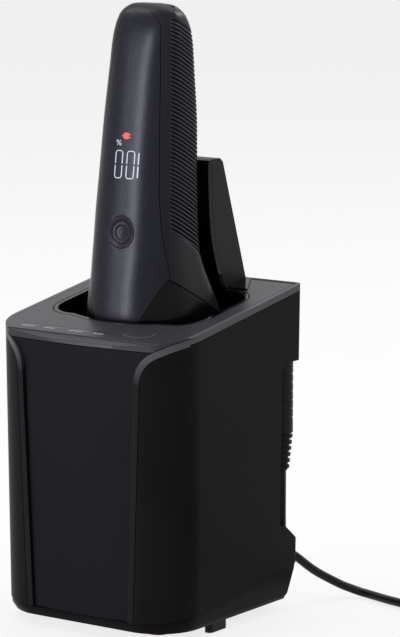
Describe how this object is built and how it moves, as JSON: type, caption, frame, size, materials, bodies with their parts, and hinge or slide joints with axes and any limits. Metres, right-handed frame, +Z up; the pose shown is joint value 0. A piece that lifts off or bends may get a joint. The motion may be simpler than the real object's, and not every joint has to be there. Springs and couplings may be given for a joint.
{
  "type": "shaver cleaning station",
  "caption": "Black cleaning and charging stand for a foil shaver: a rounded tower with a wash well and charging post, the shaver docked head down, and a power lead at the back.",
  "frame": {"origin": "on the floor under the middle of the housing", "axes": "+Z up, the front faces -Y, +X is the side with the power lead"},
  "size_m": [0.2198, 0.1354, 0.2488],
  "materials": {
    "housing_plastic": "satin black",
    "front_plastic": "satin blue-black",
    "band_plastic": "satin grey",
    "deck_plastic": "satin dark grey",
    "gloss_black": "polished black",
    "inner_plastic": "moulded grey",
    "rubber": "moulded",
    "cord_rubber": "smooth black",
    "cartridge_plastic": "translucent white",
    "cap_plastic": "blue",
    "wheel_plastic": "moulded white",
    "board": "green laminate",
    "contact_metal": "plated",
    "steel": "bright",
    "shaver_panel": "dark metallic",
    "shaver_plastic": "satin black",
    "display_glass": "smoked clear",
    "battery": "printed sleeve"
  },
  "bodies": {
    "tray": {"base_tray": "gloss_black", "side_feet": "rubber", "rubber_pads": "rubber", "cartridge": "cartridge_plastic", "cartridge_cap": "cap_plastic"},
    "station": {"left_side_panel": "housing_plastic", "right_side_panel": "housing_plastic", "left_trim_band": "band_plastic", "right_trim_band": "band_plastic", "front_panel": "front_plastic", "top_deck": "deck_plastic", "upper_rear_cover": "housing_plastic", "back_panel": "housing_plastic", "lower_rear_cover": "housing_plastic", "wash_basin": "gloss_black", "chassis": "inner_plastic", "post_front_cover": "gloss_black", "post_rear_cover": "deck_plastic", "post_plinth": "gloss_black", "charge_contacts": "contact_metal", "lamp_lenses": "cartridge_plastic", "control_board": "board", "select_switch": "inner_plastic", "board_screws": "steel", "pump_motor": "steel", "pump_housing": "inner_plastic", "suction_tube": "cartridge_plastic", "supply_tube": "cartridge_plastic", "drain_tube": "cartridge_plastic", "fan_housing": "inner_plastic", "fan_motor": "steel", "power_inlet": "inner_plastic", "appliance_plug": "rubber", "plug_strain_relief": "rubber", "cord_stretch": "cord_rubber", "cord_coil": "cord_rubber", "adaptor_body": "gloss_black", "adaptor_prongs": "steel"},
    "select_button": {"select_button": "deck_plastic"},
    "pump_impeller": {"pump_impeller": "wheel_plastic"},
    "fan_wheel": {"fan_wheel": "wheel_plastic"},
    "shaver": {"shaver_front_panel": "shaver_panel", "shaver_housing": "shaver_plastic", "left_grip": "rubber", "right_grip": "rubber", "display_window": "display_glass", "button_ring": "shaver_panel", "shaver_board": "board", "shaver_battery": "battery", "shaver_motor": "steel", "shaver_neck": "gloss_black", "charge_terminals": "contact_metal", "head_pivot_pin": "steel"},
    "power_button": {"power_button": "shaver_panel"},
    "head": {"head_frame": "inner_plastic", "foil_cassette": "steel"},
    "inner_blades": {"inner_blades": "steel"}
  },
  "joints": [
    {"name": "station_lift", "type": "slide", "parent": "tray", "child": "station", "axis": [0, 0, 1], "range_m": [0, 0.05]},
    {"name": "select_press", "type": "slide", "parent": "station", "child": "select_button", "axis": [0, 0.1582, -0.9874], "range_m": [0, 0.0008], "stiffness_N_per_m": 900},
    {"name": "pump_spin", "type": "hinge", "parent": "station", "child": "pump_impeller", "pos_m": [-0.02, 0.014, 0.055], "axis": [0, 0, 1], "continuous": true},
    {"name": "fan_spin", "type": "hinge", "parent": "station", "child": "fan_wheel", "pos_m": [0.022, 0.01, 0.055], "axis": [0, 0, 1], "continuous": true},
    {"name": "shaver_lift", "type": "slide", "parent": "station", "child": "shaver", "axis": [0, -0.2873, 0.9578], "range_m": [0, 0.11]},
    {"name": "power_press", "type": "slide", "parent": "shaver", "child": "power_button", "axis": [0, 0.9921, -0.1253], "range_m": [0, 0.0008], "stiffness_N_per_m": 900},
    {"name": "head_pivot", "type": "hinge", "parent": "shaver", "child": "head", "pos_m": [0, 0.0046, 0.101], "axis": [0, 1, 0], "range_deg": [-8, 8]},
    {"name": "blade_stroke", "type": "slide", "parent": "head", "child": "inner_blades", "axis": [1, 0, 0], "range_m": [-0.001, 0.001]}
  ]
}
